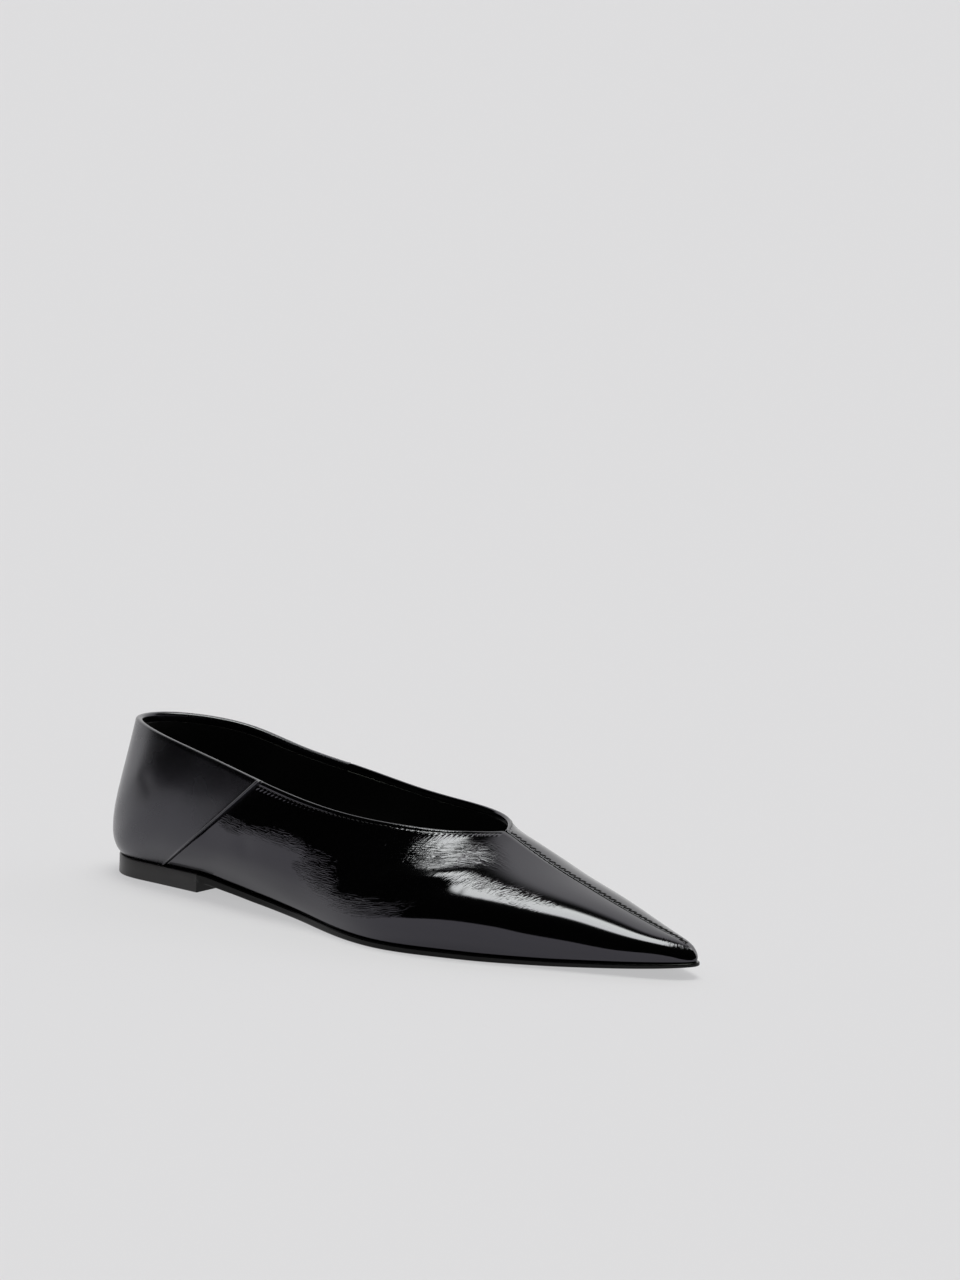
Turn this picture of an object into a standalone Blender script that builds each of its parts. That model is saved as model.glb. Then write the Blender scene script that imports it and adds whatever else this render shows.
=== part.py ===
"""Pointed toe flat shoe for the right foot, built over the sections of its last.

X runs from the heel to the toe, Y to the inner side of the foot, Z up.
Tables and driving dimensions are in millimetres, measured from the back of
the sole. The finished shoe stands with its origin in the middle of its box,
on the floor.
"""
import math

import bmesh
import bpy
import numpy as np
from mathutils import Vector

MM = 0.001

# Driving dimensions
GAP = 0.3
FRONT_WALL = 1.8
BACK_WALL = 2.6
QUARTER_THICKNESS = 1.1
QUARTER_PROUD = 0.2
SOLE_EDGE = 1.0
EDGE_ROUND = 0.4
INSOLE_THICKNESS = 2.0
INSOLE_CLEARANCE = 0.5
HEEL_HEIGHT = 3.8
HEEL_LENGTH = 50.0
HEEL_ROUND = 0.5

# Mesh fineness
COLUMNS_PER_ROW = 3
UPPER_RINGS = 10
WELD = 0.001
SEAM_STEP = 0.02
DIRECTION_STEP = 0.01
SHARP_ANGLE = 40

# Sections of the last, from the back to the tip. Each has its foot on the
# sole and its top on the topline or, from the throat on, on the centre seam.
# lean and push shape the wall at its foot, roof and reach at its top:
# degrees from upright and handle lengths.
COLUMNS = ("foot_x", "foot_y", "top_x", "top_y", "top_z", "lean", "push", "roof", "reach")
BACK = (-0.6, 1.0, 3.6, 1.5, 62.3, 50, 11, 10, 33)
TIP = (267.6, 2.7, 266.0, 2.7, 10.6, 16, 2, 50, 2)
OUTER_SIDE = [
    BACK,
    (4.5, -12.3, 11, -13.2, 62.4, 47, 11, 12, 32),
    (13, -18.0, 33, -23.0, 60.2, 43, 12, 16, 30),
    (22, -19.2, 60, -26.3, 55.8, 40.5, 14, 12, 30),
    (32, -19.6, 86.5, -29.2, 51.2, 40, 15.5, 8, 32),
    (54, -20.8, 102, -30.3, 48.7, 37, 15.5, 15.5, 31),
    (78, -22.5, 117, -30.2, 46.5, 35, 15, 28, 30),
    (104, -28.5, 134, -28.6, 44.8, 32, 12.5, 41, 28),
    (130, -38.8, 152, -25.3, 44.0, 25, 13, 48, 26),
    (156, -44.6, 167, -15.5, 43.0, 23, 17, 59, 31.5),
    (180, -39.5, 177, 5.0, 41.2, 25, 23, 72, 40),
    (203, -31.0, 197, 4.5, 32.8, 23, 19, 78.5, 31.5),
    (224, -22.5, 216, 3.9, 26.3, 24, 15.5, 86, 20.5),
    (242, -14.8, 234, 3.2, 20.7, 24.5, 11, 89, 12),
    (256, -8.2, 250, 2.7, 16.2, 22.5, 8, 89, 7.5),
    (264.5, -2.2, 260.5, 2.6, 13.2, 18.5, 3, 86, 3.5),
    TIP,
]
INNER_SIDE = [
    BACK,
    (4.5, 14.3, 11, 16.0, 61.6, 47, 11, 10, 32),
    (13, 20.5, 33, 28.0, 58.8, 43, 11, 7, 30),
    (22, 22.8, 58, 31.3, 53.3, 40, 12, 6, 28),
    (32, 23.8, 82.5, 32.6, 49.6, 38, 14, 6, 28),
    (54, 23.2, 100, 32.0, 47.5, 35, 15, 10, 26),
    (78, 22.2, 118, 30.2, 45.7, 33, 15, 15, 24),
    (104, 24.0, 135, 29.2, 44.5, 30, 15, 21, 22),
    (130, 28.2, 152, 27.6, 43.6, 25, 17, 32, 20),
    (156, 31.8, 168, 19.5, 42.7, 18, 20.5, 53, 20),
    (180, 33.0, 177, 5.0, 41.2, 14, 20, 84, 22),
    (203, 31.0, 197, 4.5, 32.8, 14, 15, 86, 20),
    (224, 25.6, 216, 3.9, 26.3, 14, 12, 86, 17),
    (242, 18.4, 234, 3.2, 20.7, 14, 9, 85, 13),
    (256, 11.6, 250, 2.7, 16.2, 15, 6.5, 82, 9),
    (264.5, 6.8, 260.5, 2.6, 13.2, 16, 4.5, 76, 5),
    TIP,
]
LAST_ROW = len(OUTER_SIDE) - 1
THROAT_ROW = 10
QUARTER_ROW = 4
WALL_BLEND_ROWS = 2

# Side profile of the outsole: x, height of its underside, thickness
SOLE_PROFILE = [
    (-4, 4.1, 3.3),
    (51, 4.1, 3.3),
    (66, 2.8, 3.0),
    (82, 1.3, 2.8),
    (104, 0.35, 2.5),
    (140, 0.0, 2.4),
    (190, 0.0, 2.3),
    (215, 0.7, 2.1),
    (240, 2.2, 1.9),
    (270, 4.9, 1.4),
]


def hermite(start, end, leave, arrive, f):
    """Cubic curve from start to end with the given slopes at both ends."""
    near = (1 + 2 * f) * (1 - f) ** 2
    far = f * f * (3 - 2 * f)
    return near * start + far * end + f * (1 - f) ** 2 * leave - f * f * (1 - f) * arrive


def bends(values, closed):
    """Slopes of the smoothest curve through evenly numbered values."""
    count = len(values)
    matrix = 4 * np.eye(count) + np.eye(count, k=1) + np.eye(count, k=-1)
    if closed:
        matrix[0, -1] = matrix[-1, 0] = 1
        return np.linalg.solve(matrix, 3 * (np.roll(values, -1) - np.roll(values, 1)))
    matrix[0, 0] = matrix[-1, -1] = 2
    pull = 6 * np.gradient(values)
    pull[[0, -1]] /= 2
    return np.linalg.solve(matrix, pull)


def through(values, t, closed=False):
    """Smooth curve through evenly numbered values."""
    values = np.array(values, float)
    slopes = bends(values, closed)
    count = len(values)
    before = math.floor(t) if closed else max(0, min(math.floor(t), count - 2))
    k, after = before % count, (before + 1) % count
    return float(hermite(values[k], values[after], slopes[k], slopes[after], t - before))


def profile(column, x):
    """A column of the sole's profile at x, with level stretches kept level."""
    rows = SOLE_PROFILE
    k = max(0, min(sum(row[0] <= x for row in rows) - 1, len(rows) - 2))

    def grade(i):
        return (rows[i + 1][column] - rows[i][column]) / (rows[i + 1][0] - rows[i][0])

    def slope(i):
        if i == 0 or i == len(rows) - 1:
            return grade(min(i, len(rows) - 2))
        before, after = grade(i - 1), grade(i)
        return 0.0 if before * after <= 0 else 2 * before * after / (before + after)

    span = rows[k + 1][0] - rows[k][0]
    f = (x - rows[k][0]) / span
    return hermite(rows[k][column], rows[k + 1][column], slope(k) * span, slope(k + 1) * span, f)


def sole_under(x):
    return profile(1, x)


def sole_top(x):
    return profile(1, x) + profile(2, x)


def column_of(side, name):
    return [row[COLUMNS.index(name)] for row in side]


def around(name, w):
    """A column of both sides as one ring: w is 0 at the back, LAST_ROW at the tip."""
    return through(column_of(OUTER_SIDE, name) + column_of(INNER_SIDE, name)[-2:0:-1], w, closed=True)


def foot(w, out=0.0):
    """Foot of the wall in plan, moved outwards by out, and the outward direction."""
    step = DIRECTION_STEP
    here = Vector((around("foot_x", w), around("foot_y", w), 0))
    ahead = Vector((around("foot_x", w + step), around("foot_y", w + step), 0))
    behind = Vector((around("foot_x", w - step), around("foot_y", w - step), 0))
    along = (ahead - behind).normalized()
    outward = Vector((along.y, -along.x, 0))
    return here + outward * out, outward


def top(w):
    """Topline from throat to throat round the back, and the centre seam to the tip."""
    side = OUTER_SIDE if w <= LAST_ROW else INNER_SIDE
    r = w if w <= LAST_ROW else 2 * LAST_ROW - w
    point = []
    for name in ("top_x", "top_y", "top_z"):
        if r > THROAT_ROW:
            point.append(through(column_of(side, name)[THROAT_ROW:], r - THROAT_ROW))
        else:
            outer = column_of(OUTER_SIDE, name)[THROAT_ROW::-1]
            line = outer + column_of(INNER_SIDE, name)[1:THROAT_ROW + 1]
            place = THROAT_ROW - r if side is OUTER_SIDE else THROAT_ROW + r
            point.append(through(line, place))
    return Vector(point)


def skin(w, v):
    """Point of the outer surface: w round the shoe, v from the foot to the top."""
    base, outward = foot(w)
    base.z = sole_top(base.x) + GAP
    head = top(w)
    lean = math.radians(around("lean", w))
    roof = math.radians(around("roof", w))
    rise = outward * math.sin(lean) + Vector((0, 0, math.cos(lean)))
    fall = outward * math.sin(roof) - Vector((0, 0, math.cos(roof)))
    low = base + rise * around("push", w)
    high = head + fall * around("reach", w)
    along = Vector((-outward.y, outward.x, 0))
    lead = along * (head - base).dot(along) / (head.z - base.z)
    low += lead * (low.z - base.z)
    high += lead * (high.z - head.z)
    u = 1 - v
    return u ** 3 * base + 3 * u * u * v * low + 3 * u * v * v * high + v ** 3 * head


def material(name, colour, roughness):
    made = bpy.data.materials.new(name)
    made.use_nodes = True
    shader = made.node_tree.nodes["Principled BSDF"]
    shader.inputs["Base Color"].default_value = (*colour, 1)
    shader.inputs["Roughness"].default_value = roughness
    shader.inputs["Metallic"].default_value = 0
    return made


def finish(bm, name, finish_material):
    """Scale the mesh to metres and put it in the scene as its own object."""
    bmesh.ops.scale(bm, vec=(MM, MM, MM), verts=bm.verts)
    mesh = bpy.data.meshes.new(name)
    bm.to_mesh(mesh)
    bm.free()
    mesh.materials.append(finish_material)
    mesh.shade_smooth()
    mesh.set_sharp_from_angle(angle=math.radians(SHARP_ANGLE))
    made = bpy.data.objects.new(name, mesh)
    bpy.context.collection.objects.link(made)
    return made


def grid(bm, columns, rows, place):
    """A sheet of quads put where place(column, row) says; returns each vertex's indices."""
    half = 0.5
    indices = {}
    for vert in bmesh.ops.create_grid(bm, x_segments=columns, y_segments=rows, size=half)["verts"]:
        column = round((vert.co.x + half) * columns)
        row = round((vert.co.y + half) * rows)
        vert.co = place(column, row)
        indices[vert] = (column, row)
    return indices


def shell(name, stations, rings, outer_depth, inner_depth, finish_material):
    """A wall between two depths under the skin, closed at its foot and its top."""
    bm = bmesh.new()
    indices = grid(bm, len(stations) - 1, rings, lambda i, j: skin(stations[i], j / rings))
    bmesh.ops.remove_doubles(bm, verts=bm.verts, dist=WELD)
    back = min(bm.verts, key=lambda vert: vert.co.x)
    bm.normal_update()
    if back.normal.x > 0:
        bmesh.ops.reverse_faces(bm, faces=bm.faces)
        bm.normal_update()
    normals = {vert: vert.normal.copy() for vert in bm.verts}
    rim = [edge for edge in bm.edges if edge.is_boundary]
    outer = list(bm.verts)
    copied = bmesh.ops.duplicate(bm, geom=bm.verts[:] + bm.edges[:] + bm.faces[:])
    twin = copied["vert_map"]
    inner_faces = [item for item in copied["geom"] if isinstance(item, bmesh.types.BMFace)]
    bmesh.ops.reverse_faces(bm, faces=inner_faces)
    for vert in outer:
        column, row = indices[vert]
        w = stations[column]
        normal = normals[vert]
        under = twin[vert]
        if row == 0:
            normal = Vector((normal.x, normal.y, 0)).normalized()
        under.co = vert.co - normal * inner_depth(w)
        vert.co = vert.co - normal * outer_depth(w)
    for edge in rim:
        face = edge.link_faces[0]
        first, second = edge.verts
        for loop in face.loops:
            if loop.edge == edge:
                first, second = loop.vert, loop.link_loop_next.vert
        bm.faces.new((second, first, twin[first], twin[second]))
    return finish(bm, name, finish_material)


def row_distance(w):
    """Rows between a place on the ring and the back."""
    return w if w <= LAST_ROW else 2 * LAST_ROW - w


def behind_quarter_seam(w):
    return row_distance(w) <= QUARTER_ROW


def upper_stations():
    """Places round the ring, with a close pair at each quarter seam for its step."""
    count = 2 * LAST_ROW * COLUMNS_PER_ROW
    places = [i / COLUMNS_PER_ROW for i in range(count + 1)]
    places += [QUARTER_ROW + SEAM_STEP, 2 * LAST_ROW - QUARTER_ROW - SEAM_STEP]
    return sorted(places)


def back_wall(w):
    """Wall thickness, growing from the front to the stiffened back."""
    f = max(0.0, min(1.0, (row_distance(w) - QUARTER_ROW) / WALL_BLEND_ROWS))
    return BACK_WALL + (FRONT_WALL - BACK_WALL) * f * f * (3 - 2 * f)


def make_upper():
    recess = QUARTER_THICKNESS - QUARTER_PROUD + GAP
    leather = material("front_leather", (0.012, 0.012, 0.013), 0.22)
    return shell("upper", upper_stations(), UPPER_RINGS,
                 lambda w: recess if behind_quarter_seam(w) else 0.0, back_wall, leather)


def make_back_quarter():
    edge = QUARTER_ROW - SEAM_STEP
    count = 2 * QUARTER_ROW * COLUMNS_PER_ROW
    turn = 2 * LAST_ROW
    places = [(edge * (2 * i / count - 1)) % turn for i in range(count + 1)]
    leather = material("quarter_leather", (0.013, 0.013, 0.014), 0.35)
    depth = QUARTER_THICKNESS - QUARTER_PROUD
    return shell("back_quarter", places, UPPER_RINGS,
                 lambda w: -QUARTER_PROUD, lambda w: depth, leather)


def plate(last_place, ring):
    """A closed slab lofted from the back to last_place; ring(w) is half a section."""
    half_count = len(ring(0))
    around_count = 2 * half_count
    bm = bmesh.new()

    def place(i, j):
        w = i / COLUMNS_PER_ROW
        j = j % around_count
        if j < half_count:
            return ring(w)[j]
        return ring(2 * LAST_ROW - w)[around_count - 1 - j]

    grid(bm, last_place * COLUMNS_PER_ROW, around_count, place)
    bmesh.ops.remove_doubles(bm, verts=bm.verts, dist=WELD)
    bmesh.ops.dissolve_degenerate(bm, edges=bm.edges, dist=WELD)
    bmesh.ops.recalc_face_normals(bm, faces=bm.faces)
    return bm


def slab_ring(inset, low, high, rounding):
    """Half section of a slab with rounded edges: underside, side and top."""
    def ring(w):
        points = []
        for out, height, shift in ((inset - rounding, low, 0), (inset, low, rounding),
                                   (inset, high, -rounding), (inset - rounding, high, 0)):
            point, _ = foot(w, out)
            point.z = height(point.x) + shift
            points.append(point)
        return points
    return ring


def make_outsole():
    leather = material("sole_leather", (0.016, 0.015, 0.015), 0.45)
    ring = slab_ring(SOLE_EDGE, sole_under, sole_top, EDGE_ROUND)
    return finish(plate(LAST_ROW, ring), "outsole", leather)


def make_insole():
    sock = material("insole_leather", (0.02, 0.02, 0.02), 0.6)

    def low(x):
        return sole_top(x) + GAP

    def high(x):
        return sole_top(x) + GAP + INSOLE_THICKNESS

    def ring(w):
        inset = -back_wall(w) - INSOLE_CLEARANCE
        return slab_ring(inset, low, high, EDGE_ROUND)(w)

    return finish(plate(LAST_ROW, ring), "insole", sock)


def make_heel():
    block = material("heel_leather", (0.02, 0.018, 0.017), 0.4)
    ring = slab_ring(SOLE_EDGE, lambda x: 0.0, lambda x: HEEL_HEIGHT, HEEL_ROUND)
    bm = plate(QUARTER_ROW + 1, ring)
    cut = bmesh.ops.bisect_plane(bm, geom=bm.verts[:] + bm.edges[:] + bm.faces[:],
                                 plane_co=(HEEL_LENGTH, 0, 0), plane_no=(1, 0, 0),
                                 clear_outer=True)["geom_cut"]
    edges = [item for item in cut if isinstance(item, bmesh.types.BMEdge)]
    bmesh.ops.contextual_create(bm, geom=edges)
    bmesh.ops.recalc_face_normals(bm, faces=bm.faces)
    return finish(bm, "heel", block)


def stand_on_origin(objects):
    """Move every mesh so that the middle of the shoe's box lies over the origin."""
    points = [vert.co for made in objects for vert in made.data.vertices]
    middle_x = (min(p.x for p in points) + max(p.x for p in points)) / 2
    middle_y = (min(p.y for p in points) + max(p.y for p in points)) / 2
    floor = min(p.z for p in points)
    for made in objects:
        for vert in made.data.vertices:
            vert.co -= Vector((middle_x, middle_y, floor))


for old in list(bpy.data.objects):
    bpy.data.objects.remove(old)
stand_on_origin([make_outsole(), make_heel(), make_insole(), make_upper(), make_back_quarter()])
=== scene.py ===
"""Pointed toe flat shoe for the right foot, in glossy black leather, on a pale floor."""
import math

import bmesh
import bpy
import numpy as np
from mathutils import Matrix, Vector


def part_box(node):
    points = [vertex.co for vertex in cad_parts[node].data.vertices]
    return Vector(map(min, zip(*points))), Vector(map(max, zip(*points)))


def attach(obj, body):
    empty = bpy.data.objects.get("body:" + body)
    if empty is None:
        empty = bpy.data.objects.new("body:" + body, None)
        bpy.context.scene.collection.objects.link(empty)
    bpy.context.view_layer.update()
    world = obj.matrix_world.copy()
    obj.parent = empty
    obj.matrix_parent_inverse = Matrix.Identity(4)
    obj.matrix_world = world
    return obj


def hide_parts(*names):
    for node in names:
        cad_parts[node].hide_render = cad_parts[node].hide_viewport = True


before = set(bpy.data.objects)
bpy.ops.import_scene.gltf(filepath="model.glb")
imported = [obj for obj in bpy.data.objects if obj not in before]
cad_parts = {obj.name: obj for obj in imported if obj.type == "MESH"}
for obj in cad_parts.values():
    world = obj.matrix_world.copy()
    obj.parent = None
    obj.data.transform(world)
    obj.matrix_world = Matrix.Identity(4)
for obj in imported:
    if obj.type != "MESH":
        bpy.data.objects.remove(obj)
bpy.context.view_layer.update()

# Outsole
# A thin sole of black dyed leather with an inked and waxed edge. It is cut to
# the plan of the last, narrow at the waist, and lifts a little at the toe.
MM = 0.001
SOLE_EDGE = 1.0
SOLE_ROUND = 0.45
TOP_ROUND = 0.4
FLAT_INSET = 4.0
SEAT_END = 50.0
SEAT_FADE = 4.0
PLACES_PER_ROW = 12
CAD_PLACES_PER_ROW = 3
WELD = 1e-6
SHARP_ANGLE = 40

# The foot of the wall in plan, outer and inner side, row by row from the back to
# the tip, in millimetres. Places between the rows are numbered w: 0 at the back,
# LAST_ROW at the tip and on round the inner side to TURN.
OUTER_PLAN = [
    (-0.6, 1.0), (4.5, -12.3), (13, -18.0), (22, -19.2), (32, -19.6), (54, -20.8),
    (78, -22.5), (104, -28.5), (130, -38.8), (156, -44.6), (180, -39.5), (203, -31.0),
    (224, -22.5), (242, -14.8), (256, -8.2), (264.5, -2.2), (267.6, 2.7),
]
INNER_PLAN = [
    (-0.6, 1.0), (4.5, 14.3), (13, 20.5), (22, 22.8), (32, 23.8), (54, 23.2),
    (78, 22.2), (104, 24.0), (130, 28.2), (156, 31.8), (180, 33.0), (203, 31.0),
    (224, 25.6), (242, 18.4), (256, 11.6), (264.5, 6.8), (267.6, 2.7),
]
LAST_ROW = len(OUTER_PLAN) - 1
TURN = 2 * LAST_ROW

# Height of the sole's underside and its thickness at each x
SOLE_X = np.array([-4, 51, 66, 82, 104, 140, 190, 215, 240, 270.0])
SOLE_UNDER = np.array([4.1, 4.1, 2.8, 1.3, 0.35, 0.0, 0.0, 0.7, 2.2, 4.9])
SOLE_THICK = np.array([3.3, 3.3, 3.0, 2.8, 2.5, 2.4, 2.3, 2.1, 1.9, 1.4])


def hermite(start, end, leave, arrive, f):
    """Cubic curve from start to end with the given slopes at both ends."""
    near = (1 + 2 * f) * (1 - f) ** 2
    far = f * f * (3 - 2 * f)
    return near * start + far * end + f * (1 - f) ** 2 * leave - f * f * (1 - f) * arrive


def bends(values, closed):
    """Slopes of the smoothest curve through evenly numbered values."""
    count = len(values)
    matrix = 4 * np.eye(count) + np.eye(count, k=1) + np.eye(count, k=-1)
    if closed:
        matrix[0, -1] = matrix[-1, 0] = 1
        return np.linalg.solve(matrix, 3 * (np.roll(values, -1) - np.roll(values, 1)))
    matrix[0, 0] = matrix[-1, -1] = 2
    pull = 6 * np.gradient(values)
    pull[[0, -1]] /= 2
    return np.linalg.solve(matrix, pull)


def through(values, t):
    """Smooth curve through evenly numbered values, open at both ends."""
    values = np.array(values, float)
    slopes = bends(values, False)
    k = np.clip(np.floor(t).astype(int), 0, len(values) - 2)
    return hermite(values[k], values[k + 1], slopes[k], slopes[k + 1], t - k)


def around(outer, inner, w):
    """Values of both sides as one ring: w is 0 at the back, LAST_ROW at the tip."""
    ring = np.array(list(outer) + list(inner)[-2:0:-1], float)
    slopes = bends(ring, True)
    before = np.floor(w).astype(int)
    k, after = before % TURN, (before + 1) % TURN
    return hermite(ring[k], ring[after], slopes[k], slopes[after], w - before)


def along_sole(values, x):
    """Values along the sole at x, with level stretches kept level."""
    grade = np.diff(values) / np.diff(SOLE_X)
    before, after = grade[:-1], grade[1:]
    total = np.where(before + after == 0, 1, before + after)
    inside = np.where(before * after > 0, 2 * before * after / total, 0)
    slopes = np.concatenate([grade[:1], inside, grade[-1:]])
    k = np.clip(np.searchsorted(SOLE_X, x, side="right") - 1, 0, len(SOLE_X) - 2)
    span = np.diff(SOLE_X)[k]
    return hermite(values[k], values[k + 1], slopes[k] * span, slopes[k + 1] * span,
                   (x - SOLE_X[k]) / span)


def plan(w):
    """Foot of the wall in plan."""
    return np.stack([around([p[i] for p in OUTER_PLAN], [p[i] for p in INNER_PLAN], w)
                     for i in (0, 1)], axis=-1)


def outward(w):
    """Unit vectors in plan, square to the outline."""
    step = 0.01
    along = plan(w + step) - plan(w - step)
    along /= np.linalg.norm(along, axis=-1, keepdims=True)
    return np.stack([along[..., 1], -along[..., 0]], axis=-1)


def foot(w, out=0.0):
    """The plan moved outward."""
    return plan(w) + outward(w) * np.asarray(out)[..., None]


def sole_under(x):
    """Height of the sole's underside."""
    return along_sole(SOLE_UNDER, x)


def sole_top(x):
    """Height of the sole's upper face."""
    return along_sole(SOLE_UNDER + SOLE_THICK, x)


cad_columns = np.arange(CAD_PLACES_PER_ROW * TURN) / CAD_PLACES_PER_ROW
cad_plan = foot(cad_columns, SOLE_EDGE)
sole_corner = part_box("outsole")[0]
table_zero = np.array([sole_corner.x / MM - cad_plan[:, 0].min(),
                       sole_corner.y / MM - cad_plan[:, 1].min(), 0])


def in_frame(points):
    """Points of the tables, in millimetres, as metres in the frame."""
    return (np.asarray(points) + table_zero) * MM


def sheet(points, uv=None, fields=None):
    """A bmesh grid whose vertices stand at points[column, row], welded where they meet."""
    columns, rows = points.shape[:2]
    places = in_frame(points)
    bm = bmesh.new()
    bmesh.ops.create_grid(bm, x_segments=columns - 1, y_segments=rows - 1, size=0.5)
    layers = {name: bm.verts.layers.float.new(name) for name in fields or {}}
    bm.verts.ensure_lookup_table()
    where = {}
    for vert in bm.verts:
        i = round((vert.co.x + 0.5) * (columns - 1))
        j = round((vert.co.y + 0.5) * (rows - 1))
        where[vert] = (i, j)
        vert.co = places[i, j]
        for name, layer in layers.items():
            vert[layer] = fields[name][i, j]
    if uv is not None:
        layer = bm.loops.layers.uv.new("lay")
        for face in bm.faces:
            for loop in face.loops:
                loop[layer].uv = uv[where[loop.vert]]
    bmesh.ops.remove_doubles(bm, verts=bm.verts, dist=WELD)
    return bm


def piece(bm, name, finish_material):
    """The bmesh as an object that rides on the shoe's one body."""
    mesh = bpy.data.meshes.new(name)
    bm.to_mesh(mesh)
    bm.free()
    mesh.materials.append(finish_material)
    mesh.shade_smooth()
    mesh.set_sharp_from_angle(angle=math.radians(SHARP_ANGLE))
    made = bpy.data.objects.new(name, mesh)
    bpy.context.scene.collection.objects.link(made)
    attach(made, "root")
    return made


def slab(half, places):
    """A closed slab lofted from the back to the tip; half(w) is its section from below to above."""
    outer = half(places)
    inner = half(TURN - places)
    ring = np.concatenate([outer, inner[:, ::-1], outer[:, :1]], axis=1)
    bm = sheet(ring)
    bmesh.ops.recalc_face_normals(bm, faces=bm.faces)
    return bm


def half_section(w, out, low, high, low_radius, high_radius):
    """Half of a slab's section at each place, from underside to top, round at the edge."""
    turn = np.radians([0, 30, 60, 90])
    inset = np.zeros_like(w) + FLAT_INSET
    rows = [(out - inset, low, 0 * w)]
    for a in turn:
        rows.append((out - low_radius * (1 - math.sin(a)), low, low_radius * (1 - math.cos(a))))
    for a in turn:
        rows.append((out - high_radius * (1 - math.cos(a)), high, -high_radius * (1 - math.sin(a))))
    rows.append((out - inset, high, 0 * w))
    points = []
    for offset, height, lift in rows:
        at = foot(w, offset)
        points.append(np.column_stack([at, height(at[:, 0]) + lift]))
    return np.stack(points, axis=1)


def node(tree, kind, inputs=None, **settings):
    """A shader node with its settings, values and links given at once."""
    made = tree.nodes.new(kind)
    for key, value in settings.items():
        setattr(made, key, value)
    for key, value in (inputs or {}).items():
        if isinstance(value, bpy.types.NodeSocket):
            tree.links.new(value, made.inputs[key])
        else:
            made.inputs[key].default_value = value
    return made


def maths(tree, operation, *values):
    """The result of one step of arithmetic on values and links."""
    return node(tree, "ShaderNodeMath", dict(enumerate(values)), operation=operation).outputs[0]


def new_group(name, inputs, outputs):
    """An empty shader group with its input and output nodes."""
    tree = bpy.data.node_groups.new(name, "ShaderNodeTree")
    for label, kind, value in inputs:
        socket = tree.interface.new_socket(label, in_out="INPUT", socket_type=kind)
        socket.default_value = value
    for label, kind in outputs:
        tree.interface.new_socket(label, in_out="OUTPUT", socket_type=kind)
    return tree, tree.nodes.new("NodeGroupInput"), tree.nodes.new("NodeGroupOutput")


def leather(name, colour, roughness, coat, coat_roughness):
    """A leather material with its shader's plain values set; returns it, its tree and shader."""
    made = bpy.data.materials.new(name)
    made.use_nodes = True
    tree = made.node_tree
    shader = tree.nodes["Principled BSDF"]
    shader.inputs["Base Color"].default_value = (*colour, 1)
    shader.inputs["Roughness"].default_value = roughness
    shader.inputs["Coat Weight"].default_value = coat
    shader.inputs["Coat Roughness"].default_value = coat_roughness
    return made, tree, shader


def grain_group():
    """Fine hair-cell grain and broad unevenness of leather, as a height and a mask."""
    inputs = [
        ("Cells", "NodeSocketFloat", 900.0),
        ("Depth", "NodeSocketFloat", 0.00002),
        ("Swell", "NodeSocketFloat", 0.0001),
    ]
    outputs = [("Height", "NodeSocketFloat"), ("Mask", "NodeSocketFloat")]
    tree, ins, outs = new_group("leather_grain", inputs, outputs)
    place = node(tree, "ShaderNodeTexCoord").outputs["Object"]
    cells = node(tree, "ShaderNodeTexVoronoi", {"Vector": place, "Scale": ins.outputs["Cells"]},
                 feature="SMOOTH_F1").outputs["Distance"]
    broad = node(tree, "ShaderNodeTexNoise", {
        "Vector": place, "Scale": 60.0, "Detail": 3.0,
    }).outputs["Fac"]
    fine = maths(tree, "MULTIPLY", cells, ins.outputs["Depth"])
    swell = maths(tree, "MULTIPLY", broad, ins.outputs["Swell"])
    tree.links.new(maths(tree, "ADD", fine, swell), outs.inputs["Height"])
    tree.links.new(broad, outs.inputs["Mask"])
    return tree


grain = grain_group()


def grain_bump(tree, shader, cells, depth, swell, extra=None, rough=None):
    """Put the grain and any extra height on a shader's normal, and uneven gloss on its roughness."""
    group = node(tree, "ShaderNodeGroup", node_tree=grain)
    for label, value in (("Cells", cells), ("Depth", depth), ("Swell", swell)):
        group.inputs[label].default_value = value
    height = group.outputs["Height"]
    if extra is not None:
        height = maths(tree, "ADD", height, extra)
    bump = node(tree, "ShaderNodeBump", {"Height": height, "Distance": 1.0, "Strength": 1.0})
    tree.links.new(bump.outputs["Normal"], shader.inputs["Normal"])
    if rough is not None:
        mixed = node(tree, "ShaderNodeMapRange", {
            "Value": group.outputs["Mask"], "From Min": 0.3, "From Max": 0.7,
            "To Min": rough[0], "To Max": rough[1],
        })
        tree.links.new(mixed.outputs["Result"], shader.inputs["Roughness"])


def outsole_half(w):
    """Half section of the sole; its lower edge is sharp over the heel and round in front of it."""
    in_front = np.clip((plan(w)[:, 0] - SEAT_END) / SEAT_FADE, 0, 1)
    return half_section(w, SOLE_EDGE + 0 * w, sole_under, sole_top, SOLE_ROUND * in_front,
                        TOP_ROUND + 0 * w)


side_places = np.linspace(0, LAST_ROW, LAST_ROW * PLACES_PER_ROW + 1)
sole_finish, tree, shader = leather("sole_edge", colour=(0.003, 0.003, 0.003), roughness=0.4,
                                    coat=0.0, coat_roughness=0.15)
shader.inputs["Specular IOR Level"].default_value = 0.2
grain_bump(tree, shader, cells=1400.0, depth=0.000003, swell=0.00001, rough=(0.14, 0.2))
outsole = piece(slab(outsole_half, side_places), "outsole_dressed", sole_finish)
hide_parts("outsole")

# Heel
# One low lift of stacked board covered in black leather, flush with the sole
# and cut straight across at its front. It is glued and nailed under the seat.
HEEL_LENGTH = 50.0
HEEL_ROUND = 0.35
HEEL_ROWS = 6
FACING_FORWARD = 0.9


def heel_half(w):
    """Half section of the heel, from the floor to the sole, before its front is cut."""
    return half_section(w, SOLE_EDGE + 0 * w, lambda x: 0 * x, sole_under, HEEL_ROUND + 0 * w, 0 * w)


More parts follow.
